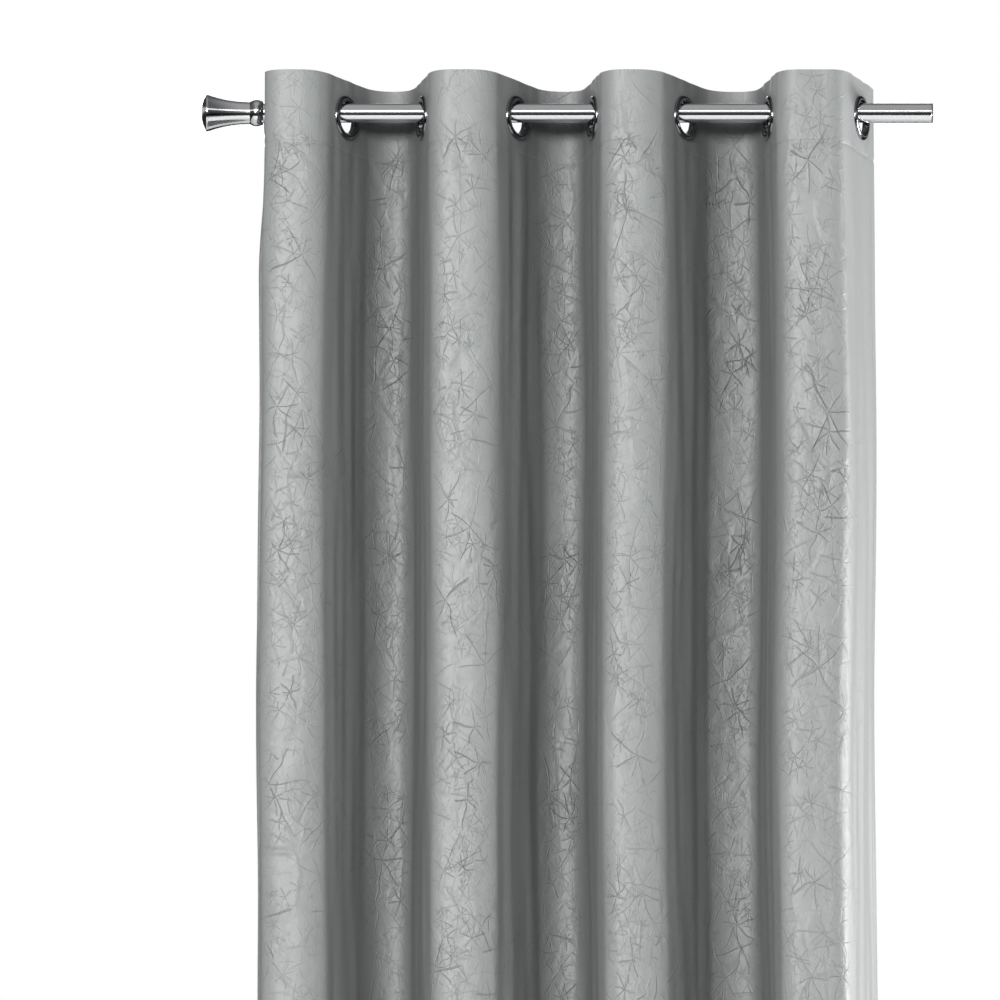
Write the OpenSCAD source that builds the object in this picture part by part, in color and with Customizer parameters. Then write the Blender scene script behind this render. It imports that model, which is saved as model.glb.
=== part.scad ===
// Eyelet curtain panel on a round rod with a trumpet finial.
// Millimetres. X runs along the rod, -Y is the room side, Z is up.
// The origin is on the rod's axis, at the middle of the bracket seat on its free end.

/* [Panel] */
// Height of the finished panel
panel_h = 2500; // [1500:10:2800]
// Depth of the folds, from front crest to back trough, at the middle of the cloth
fold_depth = 124; // [110:1:150]
// Room that an open flank takes along the rod
open_flank_w = 116; // [100:1:140]
// Angle between an open flank and the rod
open_flank_angle = 60; // [56:1:66]
// Room that a steep flank takes along the rod
steep_flank_w = 66; // [55:1:76]
// Angle between a steep flank and the rod
steep_flank_angle = 78; // [72:1:82]
// Cloth beyond the middle of the first and last eyelet
side_margin = 50; // [42:1:70]
// Depth of the bottom hem
bottom_hem_h = 80; // [40:5:120]
// Width of the side hems
side_hem_w = 15; // [8:1:18]

/* [Cloth] */
// Thickness of the face cloth
face_t = 1; // [0.6:0.1:1.6]
// Thickness of the header stiffener
stiffener_t = 1; // [0.6:0.1:1.6]
// Thickness of the header facing
facing_t = 1; // [0.6:0.1:1.6]
// Depth of the header, from the top edge down to its seam
header_h = 95; // [90:1:130]

/* [Eyelets] */
// Radius of the eyelet's hole
eyelet_hole_r = 20; // [17:0.5:24]
// Radius of the front ring
eyelet_front_r = 28.6; // [26:0.2:31]
// Height of the front ring's dome
eyelet_front_h = 3.4; // [2.4:0.1:4.2]
// Radius of the back ring
eyelet_back_r = 27.6; // [25:0.2:30]
// Height of the back ring's dome
eyelet_back_h = 2.4; // [1.8:0.1:3]
// Wall of the eyelet's barrel
barrel_wall = 1; // [0.6:0.1:1.4]
// Height of the panel's top edge above the middle of the eyelets
eyelet_drop = 49; // [40:1:60]
// Gap between the rod and the eyelets that rest on it
rest_gap = 0.1; // [0.05:0.05:0.3]

/* [Rod] */
// Radius of the rod
rod_r = 12.5; // [10:0.5:14]
// Wall of the rod tube
rod_wall = 1.2; // [0.8:0.1:2]
// Length of the bracket seat at the rod's free end
seat_len = 30; // [20:1:60]
// Bare rod between the bracket seat and the panel
bare_rod = 44; // [38:1:200]
// Gap between the finial's collar and the nearest eyelet
collar_gap = 1; // [0.5:0.1:10]

/* [Finial] */
// Radius of the collar
collar_r = 17.2; // [16:0.1:20]
// Length of the collar
collar_len = 17; // [14:0.5:26]
// Radius of the bell's neck
neck_r = 14.2; // [12:0.1:15.8]
// Radius of the bell's rim
rim_r = 23.7; // [21:0.1:32]
// Length of the bell's flare
flare_len = 53; // [40:1:80]
// Width of the rim's edge
rim_w = 3; // [2:0.5:5]
// Height of the dome on the bell's face
dome_h = 6.4; // [3:0.1:10]
// Length of the plug inside the rod
plug_len = 34; // [20:1:50]

/* [Hidden] */
$fn = 64;
fit_gap = 0.05;

// Folds, from the left: each crest lies between an odd eyelet and the next, each trough after it.
CREST_W = [20, 28, 24, 48];
FLOOR_W = [8, 8, 18];
END_FLANK_W = [40, 70];
END_FLANK_ANGLE = [86, 70];
EYELETS = 2 * len(CREST_W);
ARC_STEPS = 6;

amp = fold_depth / 2;
sandwich_t = face_t + stiffener_t + facing_t;
face_front = -sandwich_t / 2;
face_back = face_front + face_t;
facing_front = face_back + stiffener_t;
facing_back = sandwich_t / 2;

barrel_r = eyelet_hole_r + barrel_wall;
cloth_hole_r = barrel_r + fit_gap;

// A slanted eyelet meets the rod at the ends of its barrel, where the rod's oval cut is off centre.
// The eyelets hang at the height where the most slanted one is rest_gap clear of the rod all round.
slant = min(open_flank_angle, steep_flank_angle, min(END_FLANK_ANGLE));
barrel_end = facing_back + eyelet_back_h;
off_centre = barrel_end / tan(slant);
oval_r = (rod_r + rest_gap) / sin(slant);
function eyelet_room(t) =
    sqrt(pow(eyelet_hole_r, 2) - pow(oval_r * cos(t) + off_centre, 2)) - (rod_r + rest_gap) * sin(t);
eyelet_z = -min([for (t = [0 : 1 : 90]) eyelet_room(t)]);
top_z = eyelet_z + eyelet_drop;
header_z = top_z - header_h;
bottom_z = top_z - panel_h;
hem_top = bottom_z + bottom_hem_h;

// Flank k is the cloth through eyelet k. Odd ones are steep and run forward to the crest on their
// right; even ones are open and run back from it.
function first(k) = k == 1;
function last(k) = k == EYELETS;
function open_type(k) = k % 2 == 0;
function flank_w(k) =
    first(k) ? END_FLANK_W[0] : last(k) ? END_FLANK_W[1] : open_type(k) ? open_flank_w : steep_flank_w;
function flank_angle(k) =
    first(k) ? END_FLANK_ANGLE[0] : last(k) ? END_FLANK_ANGLE[1]
    : open_type(k) ? open_flank_angle : steep_flank_angle;
// Heading of the cloth's line at an eyelet, seen from above: open flanks go back, steep ones forward.
function heading(k) = open_type(k) ? flank_angle(k) : -flank_angle(k);
// Half the flat length of a flank, and the radius of the folds that join it to crest and trough.
function straight_h(k) = amp / tan(flank_angle(k) / 2) - flank_w(k) / 2;
function fold_r(k) = (flank_w(k) / 2 - straight_h(k) * cos(flank_angle(k))) / sin(flank_angle(k));
// Half of the flat at the crest or trough to the left and to the right of eyelet k.
function flat_left(k) = open_type(k) ? CREST_W[k / 2 - 1] / 2 : FLOOR_W[(k - 3) / 2] / 2;
function flat_right(k) = open_type(k) ? FLOOR_W[k / 2 - 1] / 2 : CREST_W[(k - 1) / 2] / 2;

function pitch(k) = flank_w(k) / 2 + 2 * flat_right(k) + flank_w(k + 1) / 2;
function sum_pitch(k) = k < 1 ? 0 : pitch(k) + sum_pitch(k - 1);
row_w = sum_pitch(EYELETS - 1);
last_eyelet_x = -seat_len / 2 - bare_rod - side_margin * cos(flank_angle(EYELETS));
function eyelet_x(k) = last_eyelet_x - row_w + sum_pitch(k - 1);

// Points of a flank's middle line about its eyelet, each [x, y, heading]. The bend on the left is
// the one on the right turned about the eyelet.
function bend_point(k, t) =
    let (r = fold_r(k)) [flank_w(k) / 2 - r * sin(t), amp - r * (1 - cos(t)), t];
function bend_right(k) =
    let (a = flank_angle(k))
    concat(
        [along(a, straight_h(k))],
        [for (i = [1 : ARC_STEPS]) bend_point(k, a * (1 - i / ARC_STEPS))],
        [[flank_w(k) / 2 + flat_right(k), amp, 0]]
    );
function bend_left(k) =
    let (a = flank_angle(k))
    concat(
        [[-flank_w(k) / 2 - flat_left(k), -amp, 0]],
        [for (i = [0 : ARC_STEPS - 1]) let (p = bend_point(k, a * i / ARC_STEPS)) [-p[0], -p[1], p[2]]],
        [along(a, -straight_h(k))]
    );
// An end flank runs straight on to its side edge, with a point where its side hem begins.
function along(a, d) = [d * cos(a), d * sin(a), a];
function end_right(k) =
    let (a = flank_angle(k)) [along(a, side_margin - side_hem_w), along(a, side_margin)];
function end_left(k) =
    let (a = flank_angle(k)) [along(a, -side_margin), along(a, side_hem_w - side_margin)];
function straight_part(k) =
    let (a = flank_angle(k), h = straight_h(k))
    concat(
        first(k) ? end_left(k) : [along(a, -h)],
        last(k) ? end_right(k) : [along(a, h)]
    );
// Steep flanks run forward, so theirs is the mirror image.
function hung(k, line) = [for (p = line) open_type(k) ? p : [p[0], -p[1], -p[2]]];
function middle_line(k) =
    hung(k, concat(
        first(k) ? [] : [for (i = [0 : ARC_STEPS]) bend_left(k)[i]],
        straight_part(k),
        last(k) ? [] : [for (i = [1 : ARC_STEPS + 1]) bend_right(k)[i]]
    ));
// The crest is on an even flank's left and an odd one's right, and the trough on its other side.
function crest_line(k) = hung(k, open_type(k) ? bend_left(k) : bend_right(k));
function floor_line(k) = hung(k, open_type(k) ? bend_right(k) : bend_left(k));
function beside(p, d) = [p[0] - d * sin(p[2]), p[1] + d * cos(p[2])];
function flank_outline(line, front, back) =
    concat([for (p = line) beside(p, front)], [for (i = [len(line) - 1 : -1 : 0]) beside(line[i], back)]);

weight_r = 11;
weight_t = 2.4;
weight_inset = 5;

collar_x = eyelet_x(1) - collar_gap - (collar_r * cos(flank_angle(1))
    + (sandwich_t / 2 + max(eyelet_front_h, eyelet_back_h)) / sin(flank_angle(1)));
socket_len = collar_len - 3;
rod_left = collar_x - socket_len;
rod_right = seat_len / 2;
neck_x = collar_x - collar_len;
bore_r = rod_r - rod_wall;
insert_r = bore_r - fit_gap;
end_cap_t = 1.5;
end_cap_len = 18;
cap_step = 0.2;
screw_r = 2.5;
screw_head_r = 4.5;
screw_head_len = 3;
screw_reach = 18;

steel = "#8F9295";
dark_chrome = "#3C3E41";
cloth_grey = "#8B8D8F";
facing_grey = "#7E8082";
buckram_white = "#D8D6CF";
nylon_black = "#1C1C1D";
weight_grey = "#5A5B5C";

// Turns a shape made along +Z to lie along +X.
module along_x() {
    rotate([0, 90, 0]) children();
}

// Places a shape at eyelet k, with its +Z along the cloth's back normal.
module at_eyelet(k) {
    translate([eyelet_x(k), 0, eyelet_z])
        rotate([0, 0, heading(k)])
            rotate([-90, 0, 0])
                children();
}

// A sheet that stands on an outline about eyelet k, between two heights.
module sheet(k, outline, low, high) {
    translate([eyelet_x(k), 0, low])
        linear_extrude(high - low)
            polygon(outline);
}

module cloth_hole(k) {
    at_eyelet(k) cylinder(r = cloth_hole_r, h = 4 * sandwich_t, center = true);
}

module rod_tube() {
    color(steel)
        translate([rod_left, 0, 0])
            along_x()
                difference() {
                    cylinder(r = rod_r, h = rod_right - rod_left);
                    translate([0, 0, -1]) cylinder(r = bore_r, h = rod_right - rod_left + 2);
                }
}

module rod_end_plug() {
    color(nylon_black)
        translate([rod_right, 0, 0])
            along_x() {
                cylinder(r = rod_r - cap_step, h = end_cap_t);
                translate([0, 0, -end_cap_len]) cylinder(r = insert_r, h = end_cap_len);
            }
}

// The flare is a true arc, tangent to the neck.
module finial_bell() {
    rise = rim_r - neck_r;
    flare_r = (flare_len * flare_len + rise * rise) / (2 * rise);
    color(steel)
        translate([neck_x, 0, 0])
            rotate([0, -90, 0])
                difference() {
                    rotate_extrude()
                        union() {
                            difference() {
                                square([rim_r, flare_len]);
                                translate([neck_r + flare_r, 0]) circle(r = flare_r, $fn = 180);
                            }
                            translate([0, flare_len]) square([rim_r, rim_w]);
                        }
                    translate([0, 0, -1]) cylinder(r = screw_r, h = screw_reach + 1);
                }
}

module finial_dome() {
    base_r = rim_r - 1;
    ball_r = (base_r * base_r + dome_h * dome_h) / (2 * dome_h);
    color(steel)
        translate([neck_x - flare_len - rim_w, 0, 0])
            rotate([0, -90, 0])
                intersection() {
                    translate([0, 0, dome_h - ball_r]) sphere(r = ball_r, $fn = 180);
                    cylinder(r = base_r, h = dome_h, $fn = 180);
                }
}

// A rounded ring whose socket takes the rod's end.
module finial_collar() {
    bulge = collar_r - neck_r;
    bulge_r = (collar_len * collar_len / 4 + bulge * bulge) / (2 * bulge);
    color(steel)
        translate([neck_x, 0, 0])
            along_x()
                difference() {
                    rotate_extrude()
                        intersection() {
                            translate([collar_r - bulge_r, collar_len / 2]) circle(r = bulge_r, $fn = 180);
                            square([collar_r, collar_len]);
                        }
                    translate([0, 0, collar_len - socket_len])
                        cylinder(r = rod_r + fit_gap, h = socket_len + 1);
                    translate([0, 0, -1]) cylinder(r = screw_r + fit_gap, h = collar_len);
                }
}

module finial_plug() {
    color(nylon_black)
        translate([rod_left, 0, 0])
            along_x()
                difference() {
                    union() {
                        cylinder(r = insert_r - 1, h = plug_len);
                        for (z = [2 : 6 : plug_len - 4]) {
                            translate([0, 0, z]) cylinder(r = insert_r, h = 2);
                        }
                    }
                    translate([0, 0, -1]) cylinder(r = screw_r + fit_gap, h = plug_len + 2);
                    translate([0, 0, plug_len - screw_head_len])
                        cylinder(r = screw_head_r + fit_gap, h = screw_head_len + 1);
                }
}

module finial_screw() {
    start = neck_x - screw_reach;
    head = rod_left + plug_len - screw_head_len;
    color(steel)
        translate([start, 0, 0])
            along_x() {
                cylinder(r = screw_r, h = head - start);
                translate([0, 0, head - start]) cylinder(r = screw_head_r, h = screw_head_len);
            }
}

// The face cloth along a line, with its bottom hem turned up behind it.
module face_cloth(k, line) {
    sheet(k, flank_outline(line, face_front, face_back), bottom_z, top_z);
    sheet(k, flank_outline(line, face_back, facing_front), bottom_z, hem_top);
}

// The side hem, the same cloth turned in behind itself.
module side_hem(k) {
    edge = hung(k, first(k) ? end_left(k) : end_right(k));
    sheet(k, flank_outline(edge, face_back, facing_front), hem_top, header_z);
}

module face_flank(k) {
    color(cloth_grey)
        difference() {
            union() {
                face_cloth(k, hung(k, straight_part(k)));
                if (first(k) || last(k)) side_hem(k);
            }
            cloth_hole(k);
        }
}

// The bends on both sides of a flank: two separate solids, as the flank lies between them.
module face_bends(k) {
    color(cloth_grey) {
        face_cloth(k, crest_line(k));
        if (!first(k) && !last(k)) face_cloth(k, floor_line(k));
    }
}

module stiffener(k) {
    color(buckram_white)
        difference() {
            sheet(k, flank_outline(middle_line(k), face_back, facing_front), header_z, top_z);
            cloth_hole(k);
        }
}

module facing(k) {
    color(facing_grey)
        difference() {
            sheet(k, flank_outline(middle_line(k), facing_front, facing_back), header_z, top_z);
            cloth_hole(k);
        }
}

// A half-round rim: an arc of the given height over the width between two radii.
module rim_section(inner, outer, height) {
    half = (outer - inner) / 2;
    arc_r = (half * half + height * height) / (2 * height);
    intersection() {
        translate([inner + half, height - arc_r]) circle(r = arc_r);
        translate([inner, 0]) square([2 * half, height]);
    }
}

// Front ring and its barrel, which passes through the cloth and the back ring.
module eyelet_front(k) {
    color(dark_chrome)
        at_eyelet(k)
            rotate_extrude() {
                translate([0, face_front])
                    mirror([0, 1])
                        rim_section(eyelet_hole_r, eyelet_front_r, eyelet_front_h);
                translate([eyelet_hole_r, face_front])
                    square([barrel_wall, sandwich_t + eyelet_back_h]);
            }
}

module eyelet_back(k) {
    color(dark_chrome)
        at_eyelet(k)
            rotate_extrude()
                translate([0, facing_back]) rim_section(cloth_hole_r, eyelet_back_r, eyelet_back_h);
}

// A flat round weight behind the turned cloth of a bottom corner.
module hem_weight(k) {
    inward = first(k) ? 1 : -1;
    a = heading(k);
    out = side_margin - weight_inset - weight_r;
    color(weight_grey)
        translate([eyelet_x(k) - inward * out * cos(a), -inward * out * sin(a), bottom_z + bottom_hem_h / 2])
            rotate([0, 0, a])
                rotate([-90, 0, 0])
                    translate([0, 0, facing_front])
                        cylinder(r = weight_r, h = weight_t);
}

rod_tube();
rod_end_plug();
finial_bell();
finial_dome();
finial_collar();
finial_plug();
finial_screw();
for (k = [1 : EYELETS]) {
    face_flank(k);
    face_bends(k);
    stiffener(k);
    facing(k);
    eyelet_front(k);
    eyelet_back(k);
}
hem_weight(1);  // hem_weight_left
hem_weight(EYELETS);  // hem_weight_right
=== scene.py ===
# An eyelet curtain panel of crushed satin, hung on a brushed steel rod with a trumpet finial.
# Metres. X runs along the rod, -Y is the room side, Z is up, and the rod's axis is at Z = 0.
import logging
import math
from dataclasses import dataclass, field
from enum import Enum
from typing import Any, Optional, Sequence

import bpy
import numpy as np
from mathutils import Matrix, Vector


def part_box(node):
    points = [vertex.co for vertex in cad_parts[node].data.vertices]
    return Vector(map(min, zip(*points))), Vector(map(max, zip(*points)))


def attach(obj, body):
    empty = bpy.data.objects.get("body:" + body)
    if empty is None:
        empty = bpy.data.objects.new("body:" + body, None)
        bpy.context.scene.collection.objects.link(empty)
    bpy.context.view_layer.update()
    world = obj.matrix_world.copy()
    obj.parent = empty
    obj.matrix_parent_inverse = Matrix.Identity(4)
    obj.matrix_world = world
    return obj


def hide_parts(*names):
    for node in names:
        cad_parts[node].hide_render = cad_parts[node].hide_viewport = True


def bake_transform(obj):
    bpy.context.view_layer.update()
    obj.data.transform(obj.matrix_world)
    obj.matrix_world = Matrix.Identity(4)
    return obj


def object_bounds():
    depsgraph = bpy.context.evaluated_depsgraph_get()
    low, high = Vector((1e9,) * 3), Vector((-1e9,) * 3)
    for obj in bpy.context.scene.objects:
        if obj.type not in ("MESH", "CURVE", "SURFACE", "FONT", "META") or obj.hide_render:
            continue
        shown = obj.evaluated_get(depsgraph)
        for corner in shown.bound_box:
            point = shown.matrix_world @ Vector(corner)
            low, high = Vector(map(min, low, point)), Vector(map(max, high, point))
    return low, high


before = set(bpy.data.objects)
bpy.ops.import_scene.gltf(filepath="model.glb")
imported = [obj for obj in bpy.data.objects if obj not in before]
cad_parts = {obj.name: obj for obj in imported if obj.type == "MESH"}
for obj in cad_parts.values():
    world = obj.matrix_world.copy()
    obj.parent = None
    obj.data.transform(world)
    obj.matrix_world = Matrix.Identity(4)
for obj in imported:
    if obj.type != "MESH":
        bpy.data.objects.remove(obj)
CAD_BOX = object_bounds()

Grid = np.ndarray
Point = tuple[float, float, float]
MM = 0.001
# Metres or radians that differ by less than this are the same.
SAME = 1e-9

log = logging.getLogger("curtain")


# ---------------------------------------------------------------- finishes

def linear(hex_colour: str) -> tuple[float, float, float, float]:
    """Turns an sRGB hex colour to linear light.

    Args:
        hex_colour: Six hex digits, with or without a leading hash.

    Returns:
        Red, green, blue and an alpha of 1.
    """
    digits = hex_colour.lstrip("#")
    channels = [int(digits[i:i + 2], 16) / 255 for i in (0, 2, 4)]
    red, green, blue = (c / 12.92 if c <= 0.04045 else ((c + 0.055) / 1.055) ** 2.4 for c in channels)
    return red, green, blue, 1.0


def add_node(
    tree: bpy.types.NodeTree, kind: str, inputs: Optional[dict[Any, Any]] = None, **settings: Any
) -> bpy.types.Node:
    """Adds a node with its settings and links.

    Args:
        tree: The node tree that gets the node.
        kind: The node's type name.
        inputs: Socket names or numbers, each with a value or with the socket that feeds it.
        settings: The node's own properties.

    Returns:
        The new node.
    """
    node = tree.nodes.new(kind)
    for name, value in settings.items():
        setattr(node, name, value)
    for name, value in (inputs or {}).items():
        if isinstance(value, bpy.types.NodeSocket):
            tree.links.new(value, node.inputs[name])
        else:
            node.inputs[name].default_value = value
    return node


def new_material(name: str) -> tuple[bpy.types.Material, bpy.types.NodeTree]:
    """Makes an empty node material.

    Args:
        name: The material's name.

    Returns:
        The material and its cleared node tree.
    """
    material = bpy.data.materials.new(name)
    material.use_nodes = True
    material.node_tree.nodes.clear()
    return material, material.node_tree


def finish_surface(tree: bpy.types.NodeTree, inputs: dict[str, Any]) -> None:
    """Ends a tree in a Principled surface.

    Args:
        tree: The node tree to end.
        inputs: The Principled node's values and links.
    """
    surface = add_node(tree, "ShaderNodeBsdfPrincipled", inputs)
    add_node(tree, "ShaderNodeOutputMaterial", {"Surface": surface.outputs["BSDF"]})


@dataclass(frozen=True)
class CrushedSatin:
    """Polyester satin, woven and then crushed.

    The floats of the weave give it a broad soft gloss, and the crushing leaves creases that fan
    out from pinched points, so that thin bright and dark lines run across every fold; the dark lines
    are partly painted shade along each crease's sunken side.
    """

    name: str = "crushed_polyester_satin"
    colour: str = "#7E8080"
    # Painted shade: the colour that each crease's sunken side darkens to.
    crease_shade_colour: str = "#656768"
    roughness: float = 0.5
    ior: float = 1.45
    sheen: float = 0.02
    # Spacing of the pinched points, depth of the creases and how many fan out, from large to small.
    fans: tuple[tuple[float, float, int], ...] = (
        (70.0, 1.5, 5), (44.0, 1.3, 6), (26.0, 1.0, 6), (15.0, 0.7, 5)
    )
    crease_mm: float = 1.25
    # How far apart two folds still darken each other, the open shares of the sky where the shade is
    # full and where it ends, and what full shade leaves of the colour.
    fold_reach_mm: float = 150.0
    closed_in: float = 0.35
    open_out: float = 0.95
    full_shade: float = 0.42
    # Satin floats are near 0.3 mm apart, too fine to show, so they are drawn as 2 mm slubs.
    slub_mm: float = 2.0

    def fan(
        self, tree: bpy.types.NodeTree, flat: bpy.types.NodeSocket,
        size_mm: float, depth_mm: float, creases: int,
    ) -> tuple[bpy.types.NodeSocket, bpy.types.NodeSocket]:
        """Raises creases that fan out from pinched points, as in a crumpled sheet.

        Args:
            tree: The material's node tree.
            flat: Place on the flat cloth, in metres.
            size_mm: Distance between the points.
            depth_mm: Height of the creases.
            creases: How many leave each point.

        Returns:
            Their height in metres, and the painted shade that each lays along its sunken side.
        """
        def maths(operation: str, *values: Any) -> bpy.types.NodeSocket:
            """Adds a sum and returns its result."""
            return add_node(tree, "ShaderNodeMath", dict(enumerate(values)), operation=operation).outputs[0]

        bent = add_node(tree, "ShaderNodeTexNoise", {"Vector": flat, "Scale": 900 / size_mm, "Detail": 2.0})
        drift = add_node(
            tree, "ShaderNodeVectorMath",
            {0: bent.outputs["Color"], "Scale": 0.0005 * size_mm}, operation="SCALE",
        )
        warped = add_node(
            tree, "ShaderNodeVectorMath", {0: flat, 1: drift.outputs["Vector"]}, operation="ADD"
        )
        turned_flat = add_node(
            tree, "ShaderNodeMapping",
            {"Vector": warped.outputs["Vector"], "Rotation": (0, 0, 0.09 * size_mm),
             "Scale": (1.0, 0.7, 1.0)},
        ).outputs["Vector"]
        cells, borders = (
            add_node(
                tree, "ShaderNodeTexVoronoi", {"Vector": turned_flat, "Scale": 1000 / size_mm},
                voronoi_dimensions="2D", feature=feature,
            )
            for feature in ("F1", "DISTANCE_TO_EDGE")
        )
        across = add_node(
            tree, "ShaderNodeVectorMath", {0: turned_flat, 1: cells.outputs["Position"]}, operation="SUBTRACT"
        ).outputs["Vector"]
        reach = add_node(tree, "ShaderNodeVectorMath", {0: across}, operation="LENGTH").outputs["Value"]
        place = add_node(tree, "ShaderNodeSeparateXYZ", {"Vector": across})
        chance = add_node(tree, "ShaderNodeSeparateColor", {"Color": cells.outputs["Color"]})
        turn = maths("ARCTAN2", place.outputs["Y"], place.outputs["X"])
        swing = maths("SINE", maths("MULTIPLY_ADD", chance.outputs["Green"], 2 * math.pi, turn))
        wave = maths("MULTIPLY_ADD", turn, creases / 2, maths("MULTIPLY", chance.outputs["Red"], 2 * math.pi))
        beside = maths("ABSOLUTE", maths("SINE", maths("MULTIPLY_ADD", swing, 1.1, wave)))
        away = maths("MULTIPLY", reach, maths("MULTIPLY", beside, 2 / creases))

        def smooth(
            value: bpy.types.NodeSocket, end: float, first: float = 0.0, last: float = 1.0
        ) -> bpy.types.NodeSocket:
            """Goes smoothly from first at 0 to last at the end value."""
            return add_node(
                tree, "ShaderNodeMapRange",
                {"Value": value, "From Max": end, "To Min": first, "To Max": last},
                interpolation_type="SMOOTHSTEP",
            ).outputs["Result"]

        line = smooth(away, self.crease_mm * MM, 1.0, 0.0)
        fade = maths("MULTIPLY", smooth(borders.outputs["Distance"], 0.10), smooth(reach, 0.004))
        side = maths("MULTIPLY_ADD", chance.outputs["Blue"], 2.0, -0.9)
        shown = maths("MULTIPLY", line, fade)
        tilted = maths("MULTIPLY", maths("MULTIPLY", away, fade), 0.09)
        height = maths("MULTIPLY", maths("MULTIPLY_ADD", shown, depth_mm * MM, tilted), side)
        # The second value is painted shade, strongest on the crease's sunken side.
        return height, maths("MULTIPLY", shown, smooth(maths("ADD", side, 0.9), 1.3, 1.0, 0.0))

    def make(self) -> bpy.types.Material:
        """Makes the material and returns it."""
        material, tree = new_material(self.name)
        flat = add_node(tree, "ShaderNodeUVMap", uv_map="flat_cut").outputs["UV"]
        crush = add_node(tree, "ShaderNodeAttribute", attribute_name="crush").outputs["Fac"]
        totals: list[bpy.types.NodeSocket] = []
        for size_mm, depth_mm, creases in self.fans:
            patches = add_node(
                tree, "ShaderNodeTexNoise", {"Vector": flat, "Scale": 300 / size_mm, "Detail": 1.0}
            ).outputs["Fac"]
            here = add_node(
                tree, "ShaderNodeMapRange",
                {"Value": patches, "From Min": 0.34, "From Max": 0.56, "To Min": 0.4},
            ).outputs["Result"]
            parts = [
                add_node(tree, "ShaderNodeMath", {0: part, 1: here}, operation="MULTIPLY").outputs[0]
                for part in self.fan(tree, flat, size_mm, depth_mm, creases)
            ]
            totals = parts if not totals else [
                add_node(tree, "ShaderNodeMath", {0: total, 1: part}, operation="ADD").outputs[0]
                for total, part in zip(totals, parts)
            ]
        height, crease_shade = totals
        # Painted shade: the creases darken the colour towards the crease shade colour where the crush shows.
        shade = add_node(tree, "ShaderNodeMath", {0: crease_shade, 1: crush}, operation="MULTIPLY", use_clamp=True)
        colour = add_node(
            tree, "ShaderNodeMix",
            {0: shade.outputs[0], 6: linear(self.colour), 7: linear(self.crease_shade_colour)}, data_type="RGBA",
        ).outputs[2]
        # Painted shade: darkens the colour where folds close in, since the lights alone leave that shade too
        # bright.
        open_sky = add_node(
            tree, "ShaderNodeAmbientOcclusion", {"Distance": self.fold_reach_mm * MM}, samples=8
        )
        share = add_node(
            tree, "ShaderNodeMapRange",
            {"Value": open_sky.outputs["AO"], "From Min": self.closed_in, "From Max": self.open_out,
             "To Min": self.full_shade},
        ).outputs["Result"]
        colour = add_node(
            tree, "ShaderNodeVectorMath", {0: colour, "Scale": share}, operation="SCALE"
        ).outputs["Vector"]
        crushed = add_node(tree, "ShaderNodeMath", {0: height, 1: crush}, operation="MULTIPLY").outputs[0]
        upright = add_node(tree, "ShaderNodeMapping", {"Vector": flat, "Scale": (1.0, 0.07, 1.0)})
        slub = add_node(
            tree, "ShaderNodeTexNoise",
            {"Vector": upright.outputs["Vector"], "Scale": 1000 / self.slub_mm / 2, "Detail": 3.0},
        )
        slub_bump = add_node(
            tree, "ShaderNodeBump", {"Height": slub.outputs["Fac"], "Strength": 0.25, "Distance": 0.0004}
        )
        bump = add_node(
            tree, "ShaderNodeBump",
            {"Height": crushed, "Strength": 1.0, "Distance": 1.0, "Normal": slub_bump.outputs["Normal"]},
        )
        finish_surface(tree, {
            "Base Color": colour, "Roughness": self.roughness, "IOR": self.ior,
            "Sheen Weight": self.sheen, "Sheen Roughness": 0.4, "Normal": bump.outputs["Normal"],
        })
        return material


@dataclass(frozen=True)
class PlainFacing:
    """Polyester lining cloth, plain woven and left flat: matt, with a fine even grain."""

    name: str = "plain_woven_facing"
    colour: str = "#7E8082"
    # Threads near 0.25 mm apart are drawn 1.2 mm apart, so that they show.
    thread_mm: float = 1.2

    def make(self) -> bpy.types.Material:
        """Makes the material and returns it."""
        material, tree = new_material(self.name)
        flat = add_node(tree, "ShaderNodeUVMap", uv_map="flat_cut").outputs["UV"]
        weave = [
            add_node(
                tree, "ShaderNodeTexWave",
                {"Vector": flat, "Scale": 1000 / self.thread_mm / 20, "Distortion": 0.4, "Detail": 1.0},
                bands_direction=direction,
            ).outputs["Fac"]
            for direction in ("X", "Y")
        ]
        crossed = add_node(tree, "ShaderNodeMath", {0: weave[0], 1: weave[1]}, operation="MULTIPLY")
        bump = add_node(
            tree, "ShaderNodeBump", {"Height": crossed.outputs[0], "Strength": 0.3, "Distance": 0.0003}
        )
        finish_surface(tree, {
            "Base Color": linear(self.colour), "Roughness": 0.7, "Sheen Weight": 0.15,
            "Normal": bump.outputs["Normal"],
        })
        return material


@dataclass(frozen=True)
class SewingThread:
    """Spun polyester thread: a soft dull strand with a slight twist."""

    name: str = "spun_polyester_thread"
    colour: str = "#77797B"

    def make(self) -> bpy.types.Material:
        """Makes the material and returns it."""
        material, tree = new_material(self.name)
        place = add_node(tree, "ShaderNodeTexCoord").outputs["Object"]
        twist = add_node(tree, "ShaderNodeTexNoise", {"Vector": place, "Scale": 1500.0})
        bump = add_node(
            tree, "ShaderNodeBump", {"Height": twist.outputs["Fac"], "Strength": 0.4, "Distance": 0.0002}
        )
        finish_surface(tree, {
            "Base Color": linear(self.colour), "Roughness": 0.6, "Sheen Weight": 0.2,
            "Normal": bump.outputs["Normal"],
        })
        return material


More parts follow.
